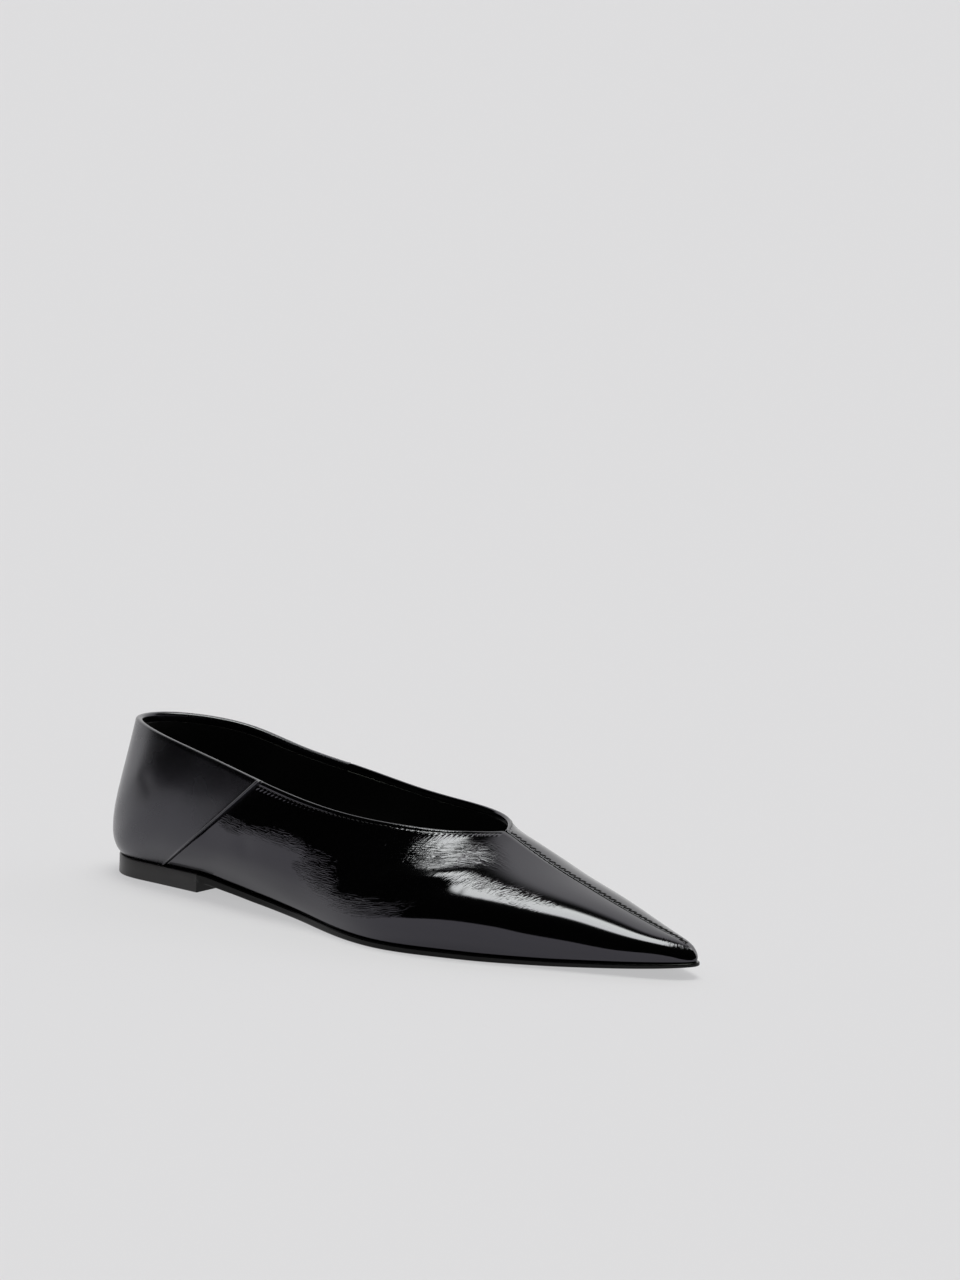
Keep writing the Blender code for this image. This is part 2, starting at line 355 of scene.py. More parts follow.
heel_bm = slab(heel_half, side_places[side_places < HEEL_ROWS])
breast = Vector(in_frame([HEEL_LENGTH, 0, 0]))
cut = bmesh.ops.bisect_plane(heel_bm, geom=heel_bm.verts[:] + heel_bm.edges[:] + heel_bm.faces[:],
                             plane_co=breast, plane_no=(1, 0, 0), clear_outer=True)["geom_cut"]
cut_edges = [item for item in cut if isinstance(item, bmesh.types.BMEdge)]
bmesh.ops.contextual_create(heel_bm, geom=cut_edges)
bmesh.ops.recalc_face_normals(heel_bm, faces=heel_bm.faces)
heel_finish, tree, shader = leather("heel_cover", colour=(0.022, 0.020, 0.020), roughness=0.42,
                                    coat=0.15, coat_roughness=0.3)
grain_bump(tree, shader, cells=1200.0, depth=0.00002, swell=0.00005, rough=(0.36, 0.5))
heel = piece(heel_bm, "heel_dressed", heel_finish)
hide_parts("heel")

# The cover also hides the sole's edge at the seat. The front of the heel takes the sole's black edge
# finish, partly as the breast's real finish and partly as painted shade, since it faces the toe and
# lies in shade.
outsole.data.materials.append(heel_finish)
heel.data.materials.append(sole_finish)
for polygon in outsole.data.polygons:
    polygon.material_index = int(polygon.center.x < breast.x)
# Faces on the breast get the darker sole finish, partly as painted shade.
for polygon in heel.data.polygons:
    on_breast = polygon.normal.x > FACING_FORWARD and polygon.center.x > breast.x - MM
    polygon.material_index = int(on_breast)

# Insole
# A thin board covered with black sock leather. It lies on the sole inside the
# upper and its edge is hidden where the wall stands up.
GAP = 0.3
INSOLE_THICKNESS = 2.0
INSOLE_CLEARANCE = 0.5
INSOLE_ROUND = 0.5
FRONT_WALL = 1.8
BACK_WALL = 2.6
QUARTER_ROW = 4
WALL_CHANGE_ROWS = 2


def row_distance(w):
    """Rows from the back, the same on both sides."""
    return np.where(np.mod(w, TURN) <= LAST_ROW, np.mod(w, TURN), TURN - np.mod(w, TURN))


def wall(w):
    """Wall thickness, growing from the front to the stiffened back."""
    f = np.clip((row_distance(w) - QUARTER_ROW) / WALL_CHANGE_ROWS, 0, 1)
    return BACK_WALL + (FRONT_WALL - BACK_WALL) * f * f * (3 - 2 * f)


def sock_under(x):
    return sole_top(x) + GAP


def sock_top(x):
    return sole_top(x) + GAP + INSOLE_THICKNESS


def insole_half(w):
    """Half section of the insole, inside the wall."""
    rounding = INSOLE_ROUND + 0 * w
    return half_section(w, -wall(w) - INSOLE_CLEARANCE, sock_under, sock_top, rounding, rounding)


sock_finish, tree, shader = leather("sock_leather", colour=(0.005, 0.005, 0.005), roughness=0.6,
                                    coat=0.0, coat_roughness=0.3)
shader.inputs["Specular IOR Level"].default_value = 0.3
grain_bump(tree, shader, cells=1100.0, depth=0.00001, swell=0.00002, rough=(0.58, 0.62))
insole = piece(slab(insole_half, side_places), "insole_dressed", sock_finish)
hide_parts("insole")

# Front of the upper
# Two panels of glossy, finely creased black leather, outer and inner, joined
# by the centre seam from the throat to the tip. Their top edges are folded
# over the lining.

# The wall's section at each row, as one curve from the foot to the top edge: the
# top's place, the lean and length of its start, the slope and length of its end.
SECTION_COLUMNS = ("top_x", "top_y", "top_z", "lean", "push", "roof", "reach")
OUTER_SECTIONS = [
    (3.6, 1.5, 62.3, 50, 11, 10, 33),
    (11, -13.2, 62.4, 47, 11, 12, 32),
    (33, -23.0, 60.2, 43, 12, 16, 30),
    (60, -26.3, 55.8, 40.5, 14, 12, 30),
    (86.5, -29.2, 51.2, 40, 15.5, 8, 32),
    (102, -30.3, 48.7, 37, 15.5, 15.5, 31),
    (117, -30.2, 46.5, 35, 15, 28, 30),
    (134, -28.6, 44.8, 32, 12.5, 41, 28),
    (152, -25.3, 44.0, 25, 13, 48, 26),
    (167, -15.5, 43.0, 23, 17, 59, 31.5),
    (177, 5.0, 41.2, 25, 23, 72, 40),
    (197, 4.5, 32.8, 23, 19, 78.5, 31.5),
    (216, 3.9, 26.3, 24, 15.5, 86, 20.5),
    (234, 3.2, 20.7, 24.5, 11, 89, 12),
    (250, 2.7, 16.2, 22.5, 8, 89, 7.5),
    (260.5, 2.6, 13.2, 18.5, 3, 86, 3.5),
    (266.0, 2.7, 10.6, 16, 2, 50, 2),
]
INNER_SECTIONS = [
    (3.6, 1.5, 62.3, 50, 11, 10, 33),
    (11, 16.0, 61.6, 47, 11, 10, 32),
    (33, 28.0, 58.8, 43, 11, 7, 30),
    (58, 31.3, 53.3, 40, 12, 6, 28),
    (82.5, 32.6, 49.6, 38, 14, 6, 28),
    (100, 32.0, 47.5, 35, 15, 10, 26),
    (118, 30.2, 45.7, 33, 15, 15, 24),
    (135, 29.2, 44.5, 30, 15, 21, 22),
    (152, 27.6, 43.6, 25, 17, 32, 20),
    (168, 19.5, 42.7, 18, 20.5, 53, 20),
    (177, 5.0, 41.2, 14, 20, 84, 22),
    (197, 4.5, 32.8, 14, 15, 86, 20),
    (216, 3.9, 26.3, 14, 12, 86, 17),
    (234, 3.2, 20.7, 14, 9, 85, 13),
    (250, 2.7, 16.2, 15, 6.5, 82, 9),
    (260.5, 2.6, 13.2, 16, 4.5, 76, 5),
    (266.0, 2.7, 10.6, 16, 2, 50, 2),
]
THROAT_ROW = 10
EASE = 0.5
EASE_ROWS = 1.4
EASE_SAMPLES = 9
SLOPE_STEP = 0.004
LENGTH_STEPS = 24
FOLD_RADIUS = 0.9
SEAM_RADIUS = 0.35
RIM_CHANGE_ROWS = 0.3
RIM_STEPS = 6
QUARTER_SEAM_SHIFT = 0.2
QUARTER_SEAM_REACH = 1.6


def section_column(name):
    """One column of the section tables, for the outer and the inner side."""
    k = SECTION_COLUMNS.index(name)
    return [row[k] for row in OUTER_SECTIONS], [row[k] for row in INNER_SECTIONS]


def top(w):
    """Topline from throat to throat round the back, and the centre seam to the tip."""
    w = np.mod(w, TURN)
    r = np.where(w <= LAST_ROW, w, TURN - w)
    place = np.where(w <= LAST_ROW, THROAT_ROW - r, THROAT_ROW + r)
    on_line = np.clip(place, 0, 2 * THROAT_ROW)
    on_seam = np.clip(r - THROAT_ROW, 0, None)
    point = []
    for name in ("top_x", "top_y", "top_z"):
        outer, inner = section_column(name)
        line = through(outer[THROAT_ROW::-1] + inner[1:THROAT_ROW + 1], on_line)
        seam = through(outer[THROAT_ROW:], on_seam)
        point.append(np.where(r > THROAT_ROW, seam, line))
    return np.stack(point, axis=-1)


def section_point(w, v):
    """Point of each section at v, which is 0 at its foot and 1 at its top."""
    side = outward(w)
    level = np.zeros_like(w)[..., None]
    flat = np.concatenate([side, level], axis=-1)
    base = np.concatenate([plan(w), level], axis=-1)
    base[..., 2] = sole_top(base[..., 0]) + GAP
    head = top(w)
    lean, push, roof, reach = (around(*section_column(name), w)[..., None]
                               for name in ("lean", "push", "roof", "reach"))
    up = np.array([0, 0, 1.0])
    low = base + push * (flat * np.sin(np.radians(lean)) + up * np.cos(np.radians(lean)))
    high = head + reach * (flat * np.sin(np.radians(roof)) - up * np.cos(np.radians(roof)))
    along = np.stack([-side[..., 1], side[..., 0], level[..., 0]], axis=-1)
    lead = along * ((((head - base) * along).sum(-1)) / (head - base)[..., 2])[..., None]
    low = low + lead * (low - base)[..., 2:]
    high = high + lead * (high - head)[..., 2:]
    v = v[..., None]
    u = 1 - v
    return u ** 3 * base + 3 * u * u * v * low + 3 * u * v * v * high + v ** 3 * head


def skin(w, v):
    """Outer surface, with the corner at the throat eased away from its edges."""
    w, v = np.broadcast_arrays(w, v)
    near_throat = np.exp(-((row_distance(w) - THROAT_ROW) / EASE_ROWS) ** 2)
    spread = EASE * near_throat * 4 * np.clip(v * (1 - v), 0, None)
    offsets = np.linspace(-2, 2, EASE_SAMPLES)
    weights = np.exp(-offsets ** 2 / 2)
    parts = [section_point(w + offset * spread, v) * weight
             for offset, weight in zip(offsets, weights)]
    return sum(parts) / weights.sum()


def unit(vectors):
    return vectors / np.maximum(np.linalg.norm(vectors, axis=-1, keepdims=True), 1e-12)


def surface(w, v):
    """Points of the skin, their outward normals and their directions up the wall."""
    here = skin(w, v)
    along = skin(w + SLOPE_STEP, v) - skin(w - SLOPE_STEP, v)
    up = unit(skin(w, v + SLOPE_STEP) - skin(w, v - SLOPE_STEP))
    normal = unit(np.cross(along, up))
    return here, normal, up


def section_length(w):
    """Length of the skin from its foot to its top edge."""
    line = skin(w[:, None], np.linspace(0, 1, LENGTH_STEPS)[None, :])
    return np.linalg.norm(np.diff(line, axis=1), axis=2).sum(1)


def rim_radius(w):
    """Radius of the folded top edge; tighter where a panel meets the centre seam."""
    f = np.clip((row_distance(w) - THROAT_ROW + RIM_CHANGE_ROWS / 2) / RIM_CHANGE_ROWS, 0, 1)
    return FOLD_RADIUS + (SEAM_RADIUS - FOLD_RADIUS) * f


def carried(values, rim_count):
    """Values of the outer face carried over the rim; they are nought on the inner face."""
    rim = np.repeat(values[:, -1:], rim_count, axis=1)
    return np.concatenate([values, rim, 0 * values, values[:, :1]], axis=1)


def straightened(w, v):
    """Places moved forward at mid height near the quarter's edge, so that its seam is straight."""
    place = np.mod(w + LAST_ROW, TURN) - LAST_ROW
    near_seam = np.exp(-((np.abs(place) - QUARTER_ROW) / QUARTER_SEAM_REACH) ** 2)
    return w + np.sign(place) * QUARTER_SEAM_SHIFT * near_seam * 4 * v * (1 - v)


def panel(w, rows, lift, thickness, relief, field_values=None):
    """A closed leather panel with a round top edge, lifted off the skin and creased."""
    radius = rim_radius(w)
    length = section_length(w)
    v_end = 1 - radius / length
    v = np.linspace(0, 1, rows)[None, :] * v_end[:, None]
    here, normal, up = surface(straightened(w[:, None], v), v)
    down = (1 - v) * length[:, None]
    outer = here + normal * (lift[:, None] + relief(here, down))[..., None]
    inner = here - normal * thickness
    inner[:, 0, 2] = outer[:, 0, 2]
    turn = np.linspace(0, math.pi, RIM_STEPS + 1)[1:-1]
    centre = (outer[:, -1] + inner[:, -1]) / 2
    half = (outer[:, -1] - inner[:, -1]) / 2
    rim = np.stack([centre + half * math.cos(a) + up[:, -1] * (radius * math.sin(a))[:, None]
                    for a in turn], axis=1)
    ring = np.concatenate([outer, rim, inner[:, ::-1], outer[:, :1]], axis=1)
    edge = top(w)
    run = np.concatenate([[0], np.cumsum(np.linalg.norm(np.diff(edge, axis=0), axis=1))])
    on_rim = np.zeros((len(w), len(turn)))
    below = np.concatenate([down, on_rim, down[:, ::-1], down[:, :1]], axis=1)
    uv = np.stack([np.broadcast_to(run[:, None], below.shape), below], axis=-1)
    fields = field_values(here, down) if field_values else {}
    bm = sheet(ring, uv, {name: carried(values, len(turn)) for name, values in fields.items()})
    ends = [edge for edge in bm.edges if edge.is_boundary]
    bmesh.ops.holes_fill(bm, edges=ends, sides=0)
    bmesh.ops.recalc_face_normals(bm, faces=bm.faces)
    return bm


def creased(table, here, down):
    """Height of soft ridges and troughs laid along lines of x and distance below the top edge."""
    height = np.zeros(down.shape)
    point = np.stack([here[..., 0], down], axis=-1)
    for x, depth, to_x, to_depth, width, rise in table:
        start, end = np.array([x, depth]), np.array([to_x, to_depth])
        f = np.clip((point - start) @ (end - start) / ((end - start) @ (end - start)), 0, 1)
        gap = ((point - start - f[..., None] * (end - start)) ** 2).sum(-1)
        height += rise * np.exp(-gap / width ** 2)
    return height


# Main creases: x and distance below the top edge at both ends, width, rise
OUTER_CREASES = [
    (152, 8.5, 172, 9.5, 6.0, 0.65),
    (158, 20.5, 176, 23, 5.5, 1.25),
    (62, 27, 80, 26, 7.0, -0.35),
    (84, 24, 108, 22, 6.0, -0.7),
    (100, 12, 125, 18, 5.0, -0.15),
    (118, 30, 132, 34, 5.0, 0.12),
    (150, 37, 172, 40, 5.0, -0.12),
]
INNER_CREASES = [
    (160, 14, 188, 20, 5.0, -0.3),
    (105, 14, 130, 20, 5.0, -0.15),
    (128, 28, 150, 34, 5.0, 0.12),
]
ROW_SPAN = 18.0
QUARTER_SEAM_SINK = 0.45
QUARTER_SEAM_WIDTH = 0.5
CLOSE_REACH = 0.1
CLOSE_STEP = 0.008
WIDE_START = 0.12
close_columns = np.arange(0, CLOSE_REACH, CLOSE_STEP)


def beyond_quarter(w):
    """Distance of each place in front of the quarter's edge."""
    return (row_distance(w) - QUARTER_ROW) * ROW_SPAN


def front_lift(w):
    """The front panels dip where the quarter's edge lies on them."""
    return -QUARTER_SEAM_SINK * np.exp(-(beyond_quarter(w) / QUARTER_SEAM_WIDTH) ** 2)


CREASE_HEIGHT = 0.00028
CREASE_WANDER = 1.2


def fine_crease_group():
    """Fine creases of glossy leather: a ridged noise drawn out along one direction."""
    inputs = [
        ("Angle", "NodeSocketFloat", 0.0),
        ("Pitch", "NodeSocketFloat", 1.2),
        ("Length", "NodeSocketFloat", 5.0),
        ("Mask", "NodeSocketFloat", 0.0),
    ]
    tree, ins, outs = new_group("fine_creases", inputs, [("Height", "NodeSocketFloat")])
    lay = node(tree, "ShaderNodeUVMap", uv_map="lay").outputs["UV"]
    turned = node(tree, "ShaderNodeVectorRotate", {"Vector": lay, "Angle": ins.outputs["Angle"]},
                  rotation_type="Z_AXIS")
    parts = node(tree, "ShaderNodeSeparateXYZ", {"Vector": turned.outputs["Vector"]})
    drawn = node(tree, "ShaderNodeCombineXYZ", {
        "X": maths(tree, "DIVIDE", parts.outputs["X"], ins.outputs["Length"]),
        "Y": maths(tree, "DIVIDE", parts.outputs["Y"], ins.outputs["Pitch"]),
    })
    wander = node(tree, "ShaderNodeTexNoise", {"Vector": lay, "Scale": 0.25, "Detail": 1.0})
    moved = node(tree, "ShaderNodeVectorMath", {
        0: wander.outputs["Color"],
        1: (CREASE_WANDER, CREASE_WANDER, 0),
    }, operation="MULTIPLY_ADD")
    tree.links.new(drawn.outputs["Vector"], moved.inputs[2])
    noise = node(tree, "ShaderNodeTexNoise", {"Vector": moved.outputs["Vector"], "Scale": 1.0,
                                              "Detail": 2.0, "Roughness": 0.5})
    ridge = maths(tree, "ABSOLUTE", maths(tree, "SUBTRACT", noise.outputs["Fac"], 0.5))
    tree.links.new(maths(tree, "MULTIPLY", ridge, ins.outputs["Mask"]), outs.inputs["Height"])
    return tree


EDGE_PITCH = 2.0
EDGE_DOWN = 1.7
GROOVE_DEPTH = 0.16
GROOVE_NARROWNESS = 9.0
PUCKER_HEIGHT = 0.08
PUCKER_NARROWNESS = 6.0
PUCKER_DOWN = 0.6


def bell(tree, distance, narrowness):
    """A bell curve over a distance, 1 in the middle."""
    square = maths(tree, "MULTIPLY", distance, distance)
    return maths(tree, "EXPONENT", maths(tree, "MULTIPLY", square, -narrowness))


def stitched_edge_group():
    """Groove of the edge stitching and the small puckers it pulls in the leather."""
    inputs = [
        ("Pitch", "NodeSocketFloat", EDGE_PITCH),
        ("Down", "NodeSocketFloat", EDGE_DOWN),
    ]
    tree, ins, outs = new_group("stitched_edge", inputs, [("Height", "NodeSocketFloat")])
    lay = node(tree, "ShaderNodeUVMap", uv_map="lay").outputs["UV"]
    parts = node(tree, "ShaderNodeSeparateXYZ", {"Vector": lay})
    below = maths(tree, "SUBTRACT", parts.outputs["Y"], ins.outputs["Down"])
    turn = maths(tree, "MULTIPLY", parts.outputs["X"], 2 * math.pi)
    wave = maths(tree, "COSINE", maths(tree, "DIVIDE", turn, ins.outputs["Pitch"]))
    groove = bell(tree, below, GROOVE_NARROWNESS)
    pucker = bell(tree, maths(tree, "SUBTRACT", below, PUCKER_DOWN), PUCKER_NARROWNESS)
    raised = maths(tree, "MULTIPLY", maths(tree, "MULTIPLY", wave, pucker), PUCKER_HEIGHT)
    sunk = maths(tree, "MULTIPLY", groove, GROOVE_DEPTH)
    tree.links.new(maths(tree, "SUBTRACT", raised, sunk), outs.inputs["Height"])
    return tree


fine_creases = fine_crease_group()
stitched_edge = stitched_edge_group()

# Kinds of fine crease: name, angle, pitch and length of the creases in millimetres
CREASE_FIELDS = [
    ("across", 0.0, 0.9, 6.0),
    ("along", 90.0, 1.3, 9.0),
    ("slanted", 60.0, 1.2, 6.0),
]

# Where they lie: kind, x, distance below the top edge, half length in x, half
# height, strength
OUTER_FIELDS = [
    ("along", 156, 7, 13, 8, 1.6),
    ("across", 171, 12, 17, 6.5, 1.6),
    ("slanted", 193, 25, 19, 4.5, 1.5),
    ("slanted", 208, 21, 12, 3.5, 1.0),
    ("along", 261, 4, 6, 6, 1.0),
    ("across", 82, 17, 14, 4.5, 0.7),
    ("across", 100, 15, 20, 5, 0.8),
    ("across", 122, 26, 13, 12, 1.5),
    ("across", 150, 37, 27, 7, 1.5),
]


def field_mask(name, table, here, down):
    """Strength of one kind of fine crease, in soft-edged patches."""
    mask = np.zeros(down.shape)
    for field, x, depth, half_x, half_depth, strength in table:
        if field == name:
            spread = ((here[..., 0] - x) / half_x) ** 2 + ((down - depth) / half_depth) ** 2
            mask = np.maximum(mask, strength * np.exp(-spread ** 2))
    return mask


def glossy_leather():
    """Black glossy leather with fine creases where the fields say, and a stitched edge."""
    made, tree, shader = leather("glossy_leather", colour=(0.0008, 0.0008, 0.0009), roughness=0.09,
                                 coat=0.0, coat_roughness=0.03)
    shader.inputs["Specular IOR Level"].default_value = 0.75
    shader.inputs["Specular Tint"].default_value = (0.97, 0.94, 1.08, 1)
    height = 0.0
    for field, angle, pitch, length in CREASE_FIELDS:
        mask = node(tree, "ShaderNodeAttribute", attribute_name=field).outputs["Fac"]
        group = node(tree, "ShaderNodeGroup", node_tree=fine_creases)
        for label, value in (("Angle", math.radians(angle)), ("Pitch", pitch), ("Length", length)):
            group.inputs[label].default_value = value
        tree.links.new(mask, group.inputs["Mask"])
        height = maths(tree, "MULTIPLY_ADD", group.outputs["Height"], CREASE_HEIGHT, height)
    stitch = node(tree, "ShaderNodeGroup", node_tree=stitched_edge)
    row = node(tree, "ShaderNodeAttribute", attribute_name="stitched").outputs["Fac"]
    pulled = maths(tree, "MULTIPLY", stitch.outputs["Height"], row)
    height = maths(tree, "MULTIPLY_ADD", pulled, MM, height)
    grain_bump(tree, shader, cells=1000.0, depth=0.0000012, swell=0.000006, extra=height)
    return made


front_finish = glossy_leather()
PANEL_ROWS = 64
PANEL_COLUMNS = 330


def front_panel(w, name, creases, fields):
    """One front panel with its creases and the masks that its leather reads."""
    def field_values(here, down):
        masks = {field[0]: field_mask(field[0], fields, here, down) for field in CREASE_FIELDS}
        stitched = (row_distance(w) > QUARTER_ROW) & (row_distance(w) < THROAT_ROW)
        masks["stitched"] = np.broadcast_to(stitched[:, None] * 1.0, down.shape)
        return masks

    bm = panel(w, PANEL_ROWS, front_lift(w), FRONT_WALL,
               lambda here, down: creased(creases, here, down), field_values)
    return piece(bm, name, front_finish)


outer_places = np.concatenate([QUARTER_ROW + close_columns,
                               np.linspace(QUARTER_ROW + WIDE_START, LAST_ROW, PANEL_COLUMNS)])
outer_panel = front_panel(outer_places, "front_outer_panel", OUTER_CREASES, OUTER_FIELDS)
inner_panel = front_panel(TURN - outer_places[::-1], "front_inner_panel", INNER_CREASES, [])
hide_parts("upper")
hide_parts("upper")

# Back quarter
# One panel of smoother, softer black leather round the heel. Its front edges
# run down to the sole as diagonal seams over the front panels.
QUARTER_LIFT = 0.2
QUARTER_COLUMNS = 230
BEAD = 0.4
BEAD_BACK = 0.8
BEAD_WIDTH = 0.5
EDGE_ROLL = 0.6
EDGE_ROLL_WIDTH = 0.25
QUARTER_CREASES = [
    (8, 36, 26, 16, 6.0, -0.35),
]


def quarter_lift(w):
    """Height over the skin, with a thin bead before the rolled front edge."""
    back = -beyond_quarter(w)
    bead = BEAD * np.exp(-((back - BEAD_BACK) / BEAD_WIDTH) ** 2)
    return QUARTER_LIFT + bead - EDGE_ROLL * np.exp(-(back / EDGE_ROLL_WIDTH) ** 2)


quarter_finish, tree, shader = leather("soft_leather", colour=(0.0012, 0.0012, 0.0014),
                                       roughness=0.26, coat=0.3, coat_roughness=0.12)
shader.inputs["Specular IOR Level"].default_value = 0.7
shader.inputs["Specular Tint"].default_value = (0.94, 0.92, 1.08, 1)
grain_bump(tree, shader, cells=1100.0, depth=0.0000015, swell=0.000012, rough=(0.22, 0.3))
wide_columns = np.linspace(WIDE_START - QUARTER_ROW, QUARTER_ROW - WIDE_START, QUARTER_COLUMNS)
quarter_places = np.concatenate([-QUARTER_ROW + close_columns, wide_columns,
                                 QUARTER_ROW - close_columns[::-1]])
quarter_bm = panel(quarter_places, PANEL_ROWS, quarter_lift(quarter_places), BACK_WALL,
                   lambda here, down: creased(QUARTER_CREASES, here, down))
quarter = piece(quarter_bm, "back_quarter_dressed", quarter_finish)
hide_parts("back_quarter")

# Edge stitching and centre seam
# Black thread. One row of stitches holds the folded edge in front of the back
# quarter; a zigzag row lies on the inner side of the centre seam.
LINE_STEPS = 1200
EDGE_HALF_LENGTH = 0.8
EDGE_HALF_WIDTH = 0.22
EDGE_HALF_HEIGHT = 0.2
EDGE_SLANT = 0.18
EDGE_SUNK = 0.02
EDGE_MARGIN = 0.06
ZIGZAG_PITCH = 2.5
ZIGZAG_NEAR = 0.5
ZIGZAG_FAR = 2.5
ZIGZAG_THREAD = 0.22
ZIGZAG_STAND = 0.08
ZIGZAG_START_ROWS = 0.05
ZIGZAG_END_ROWS = 0.3


def stitch_line(places, down):
    """Points, normals and directions along a line at a distance below the top edge."""
    length = section_length(places)
    v = (1 - down / length)[:, None]
    here, normal, up = surface(places[:, None], v)
    here, normal, up = here[:, 0], normal[:, 0], up[:, 0]
    run = np.concatenate([[0], np.cumsum(np.linalg.norm(np.diff(here, axis=0), axis=1))])
    return here, normal, up, run


def thread(bm, start, end, normal, half_width, half_height):
    """A short rounded stitch from start to end, added to bm."""
    start, end, normal = Vector(in_frame(start)), Vector(in_frame(end)), Vector(normal)
    along = (end - start).normalized()
    side = normal.cross(along).normalized()
    stand = along.cross(side)
    size = Matrix.Diagonal(((end - start).length / 2, half_width * MM, half_height * MM, 1))
    turn = Matrix((along, side, stand)).transposed().to_4x4()
    place = Matrix.Translation((start + end) / 2) @ turn @ size
    lying = place @ Matrix.Rotation(math.pi / 2, 4, "Y")
    bmesh.ops.create_uvsphere(bm, u_segments=8, v_segments=6, radius=1, matrix=lying)


def at_run(values, run, distance):
    """Values along a line, read at a distance along it."""
    return np.array([np.interp(distance, run, axis) for axis in values.T])


def edge_stitches(bm, first, last):
    """One row of single stitches below the folded edge, each a little slanted."""
    here, normal, up, run = stitch_line(np.linspace(first, last, LINE_STEPS), EDGE_DOWN)
    for middle in np.arange(0.5 * EDGE_PITCH, run[-1] - 0.5 * EDGE_PITCH, EDGE_PITCH):
        face = at_run(normal, run, middle)
        rise = at_run(up, run, middle)
        start = at_run(here, run, middle - EDGE_HALF_LENGTH) + rise * EDGE_SLANT
        end = at_run(here, run, middle + EDGE_HALF_LENGTH) - rise * EDGE_SLANT
        thread(bm, start - face * EDGE_SUNK, end - face * EDGE_SUNK, face,
               EDGE_HALF_WIDTH, EDGE_HALF_HEIGHT)


def zigzag(bm, first, last):
    """Stitches that go to and fro between two lines beside the centre seam."""
    places = np.linspace(first, last, LINE_STEPS)
    near = stitch_line(places, ZIGZAG_NEAR)
    far = stitch_line(places, ZIGZAG_FAR)
    run = near[3]
    steps = np.arange(len(run))
    corners = []
    for k in range(2 * int(run[-1] / ZIGZAG_PITCH)):
        here, normal = (near if k % 2 else far)[:2]
        at = np.interp(k * ZIGZAG_PITCH / 2, run, steps)
        face = at_run(normal, steps, at)
        corners.append((at_run(here, steps, at) + face * ZIGZAG_STAND, face))
    for (start, face), (end, _) in zip(corners, corners[1:]):
        thread(bm, start, end, face, ZIGZAG_THREAD, ZIGZAG_THREAD)


thread_finish, tree, shader = leather("black_thread", colour=(0.006, 0.006, 0.007), roughness=0.22,
                                      coat=0.0, coat_roughness=0.3)
shader.inputs["Specular IOR Level"].default_value = 1.0
stitch_bm = bmesh.new()
edge_stitches(stitch_bm, QUARTER_ROW + EDGE_MARGIN, THROAT_ROW - EDGE_MARGIN)
edge_stitches(stitch_bm, TURN - QUARTER_ROW - EDGE_MARGIN, TURN - THROAT_ROW + EDGE_MARGIN)
edge_thread = piece(stitch_bm, "edge_stitches", thread_finish)
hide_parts("upper")
zigzag_bm = bmesh.new()
zigzag(zigzag_bm, TURN - THROAT_ROW - ZIGZAG_START_ROWS, LAST_ROW + ZIGZAG_END_ROWS)
seam_finish, tree, shader = leather("dull_thread", colour=(0.002, 0.002, 0.002), roughness=0.5,
                                    coat=0.0, coat_roughness=0.3)
shader.inputs["Specular IOR Level"].default_value = 0.25
seam_thread = piece(zigzag_bm, "centre_seam_stitches", seam_finish)
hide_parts("upper")

# Lining
# Thin black lining leather inside the whole upper, stitched just under the
# folded edge of the collar.
LINING = 0.5
LINING_OVERLAP = 0.05
LINING_DOWN = 2.4
LINING_RISE_ROWS = 0.4
LINING_COLUMNS = 361
LINING_ROWS = 30


def lining_panel(w):
    """Lining from the insole to just below the folded edge, and up to the centre seam in front."""
    length = section_length(w)
    f = np.clip((row_distance(w) - THROAT_ROW) / LINING_RISE_ROWS, 0, 1)
    v_end = 1 - LINING_DOWN * (1 - f) / length
    v = np.linspace(0, 1, LINING_ROWS)[None, :] * v_end[:, None]
    here, normal, _ = surface(w[:, None], v)
    depth = wall(w)[:, None, None]
    front = here - normal * (depth + LINING)
    rear = here - normal * (depth - LINING_OVERLAP)
    front[:, 0, 2] = rear[:, 0, 2] = here[:, 0, 2]
    ring = np.concatenate([rear, front[:, ::-1], rear[:, :1]], axis=1)
    bm = sheet(ring)
    bmesh.ops.recalc_face_normals(bm, faces=bm.faces)
    return bm


lining_finish, tree, shader = leather("lining_leather", colour=(0.008, 0.008, 0.008), roughness=0.55,
                                      coat=0.0, coat_roughness=0.3)
grain_bump(tree, shader, cells=1200.0, depth=0.00003, swell=0.00008, rough=(0.5, 0.65))
lining_bm = lining_panel(np.linspace(0, TURN, LINING_COLUMNS))
lining = piece(lining_bm, "lining", lining_finish)
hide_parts("upper")

# Floor, light and camera
# A pale floor, one softbox overhead with a pale backdrop behind it, and the
# photograph's viewing angle.
VIEW_AZIMUTH = 36.8
VIEW_ELEVATION = 12.1
VIEW_ROLL = 2.35
VIEW_DISTANCE = 2.12
VIEW_TARGET = Vector(in_frame([136.5, 0, 24.4]))
TARGET_PIXEL = (410.0, 858.5)
PIXELS_PER_METRE = 2626.0
IMAGE = (960, 1280)
SENSOR_HEIGHT = 24.0

azimuth, elevation, roll = (math.radians(a) for a in (VIEW_AZIMUTH, VIEW_ELEVATION, VIEW_ROLL))
back = Vector((math.sin(azimuth) * math.cos(elevation), -math.cos(azimuth) * math.cos(elevation),
               math.sin(elevation)))
level_right = Vector((math.cos(azimuth), math.sin(azimuth), 0))
level_up = back.cross(level_right)
right = math.cos(roll) * level_right + math.sin(roll) * level_up
up = math.cos(roll) * level_up - math.sin(roll) * level_right
eye = VIEW_TARGET + back * VIEW_DISTANCE
aim = VIEW_TARGET + right * ((IMAGE[0] / 2 - TARGET_PIXEL[0]) / PIXELS_PER_METRE)
aim += up * ((TARGET_PIXEL[1] - IMAGE[1] / 2) / PIXELS_PER_METRE)
away = (eye - aim).normalized()
across = up.cross(away).normalized()
camera_data = bpy.data.cameras.new("camera")
camera = bpy.data.objects.new("camera", camera_data)
bpy.context.scene.collection.objects.link(camera)
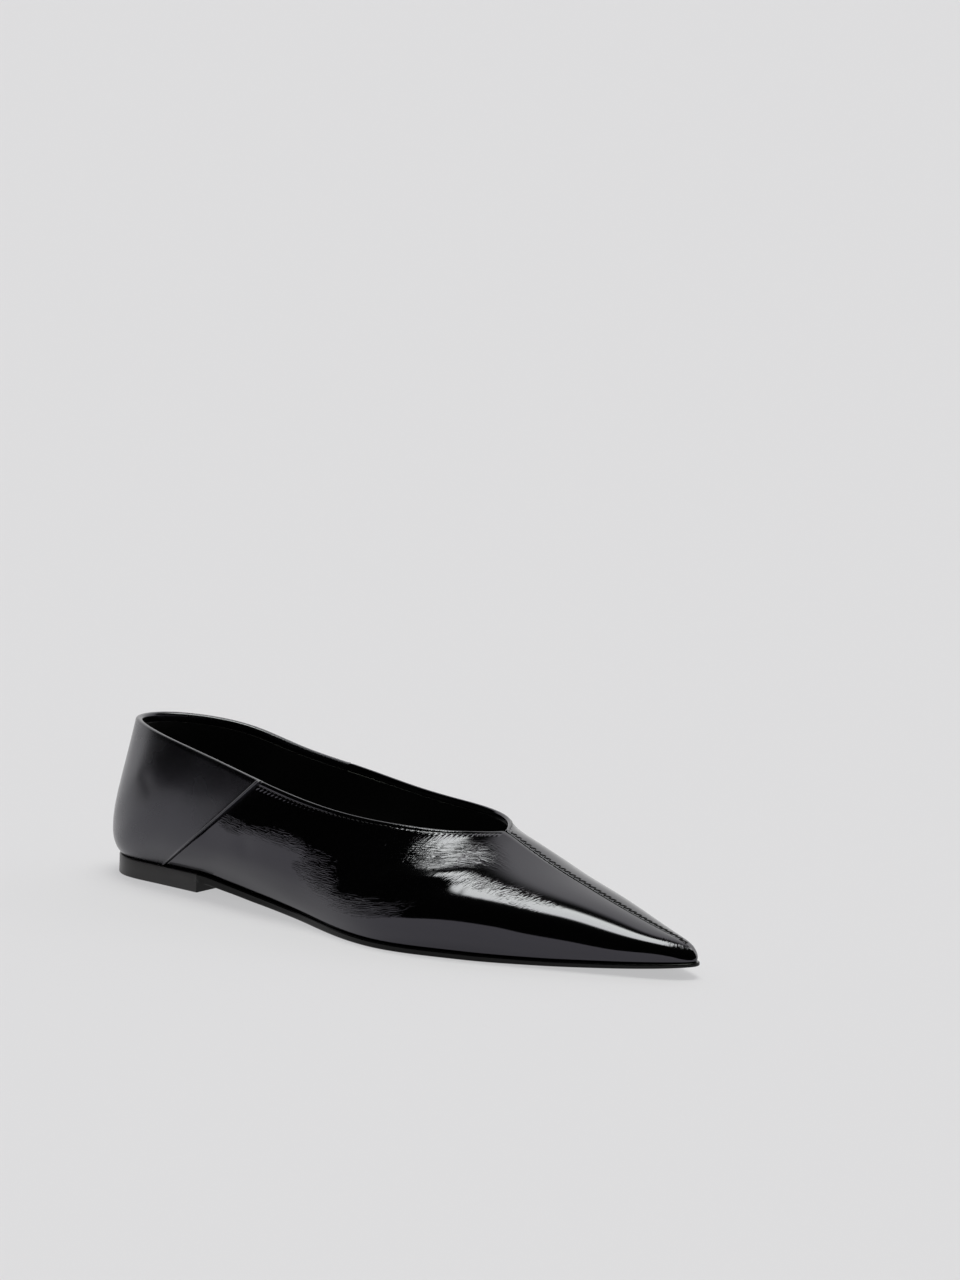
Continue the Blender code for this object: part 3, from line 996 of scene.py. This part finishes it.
facing = Matrix((across, away.cross(across), away)).transposed().to_4x4()
camera.matrix_world = Matrix.Translation(eye) @ facing
camera_data.sensor_fit = "VERTICAL"
camera_data.sensor_height = SENSOR_HEIGHT
camera_data.lens = SENSOR_HEIGHT * VIEW_DISTANCE * PIXELS_PER_METRE / IMAGE[1]
camera_data.clip_end = 100.0
bpy.context.scene.camera = camera

FLOOR_HALF = 15.0

floor_bm = bmesh.new()
bmesh.ops.create_grid(floor_bm, x_segments=1, y_segments=1, size=FLOOR_HALF)
floor_mesh = bpy.data.meshes.new("floor")
floor_bm.to_mesh(floor_mesh)
floor_bm.free()
floor = bpy.data.objects.new("floor", floor_mesh)
bpy.context.scene.collection.objects.link(floor)
floor_finish, tree, shader = leather("floor_paper", colour=(0.25, 0.24, 0.26), roughness=0.9,
                                     coat=0.0, coat_roughness=0.3)
shader.inputs["Specular IOR Level"].default_value = 0
shader.inputs["Emission Color"].default_value = (1, 1, 1.01, 1)
shader.inputs["Emission Strength"].default_value = 0.48
floor_mesh.materials.append(floor_finish)


def compass(azimuth_degrees, elevation_degrees):
    """Unit vector; azimuth 0 is the outer side of the shoe and 90 its toe."""
    a, e = math.radians(azimuth_degrees), math.radians(elevation_degrees)
    return Vector((math.sin(a) * math.cos(e), -math.cos(a) * math.cos(e), math.sin(e)))


def studio_patch(tree, direction, azimuth, elevation, slide, half_width, half_height, soft, level):
    """Brightness of one soft-edged rectangle of the studio, seen in a direction."""
    middle = compass(azimuth, elevation)
    rise = compass(azimuth, elevation + 90)
    span = middle.cross(rise)
    along = [node(tree, "ShaderNodeVectorMath", {0: direction, 1: axis},
                  operation="DOT_PRODUCT").outputs["Value"] for axis in (middle, span, rise)]
    mask = level
    for across, shift, half in ((along[1], slide, half_width), (along[2], 0, half_height)):
        angle = maths(tree, "ARCTAN2", across, along[0])
        angle = maths(tree, "ABSOLUTE", maths(tree, "SUBTRACT", angle, math.radians(shift)))
        edge = node(tree, "ShaderNodeMapRange", {
            "Value": angle,
            "From Min": math.radians(half + soft),
            "From Max": math.radians(half - soft),
        }, interpolation_type="SMOOTHSTEP")
        mask = maths(tree, "MULTIPLY", edge.outputs["Result"], mask)
    return mask


# Azimuth, elevation, slide, half width, half height and soft edge in degrees, level
OVERHEAD_BOX = (-160, 83.5, 2, 16, 12.5, 3, 8.2)
PALE_BACKDROP = (-157, 20, 0, 78, 36, 6, 0.87)
DARK_STUDIO = 0.004

# Green and blue of the softbox against its red, which is 1
BOX_GREEN = 1.05
BOX_BLUE = 0.94

world = bpy.data.worlds.new("studio")
world.use_nodes = True
tree = world.node_tree
direction = node(tree, "ShaderNodeTexCoord").outputs["Generated"]
box_glow = studio_patch(tree, direction, *OVERHEAD_BOX)
backdrop_glow = maths(tree, "ADD", studio_patch(tree, direction, *PALE_BACKDROP), DARK_STUDIO)
glow = maths(tree, "ADD", box_glow, backdrop_glow)
green = maths(tree, "MULTIPLY_ADD", box_glow, BOX_GREEN, backdrop_glow)
blue = maths(tree, "MULTIPLY_ADD", box_glow, BOX_BLUE, backdrop_glow)
sky = node(tree, "ShaderNodeCombineColor", {"Red": glow, "Green": green, "Blue": blue})
tree.links.new(sky.outputs["Color"], tree.nodes["Background"].inputs["Color"])
bpy.context.scene.world = world

FILL_STRENGTH = 0.6
FILL_SPREAD = 120
fill_data = bpy.data.lights.new("broad_fill", "SUN")
fill_data.energy = FILL_STRENGTH
fill_data.angle = math.radians(FILL_SPREAD)
fill = bpy.data.objects.new("broad_fill", fill_data)
fill.visible_glossy = False
bpy.context.scene.collection.objects.link(fill)
bpy.context.scene.view_settings.view_transform = "Standard"
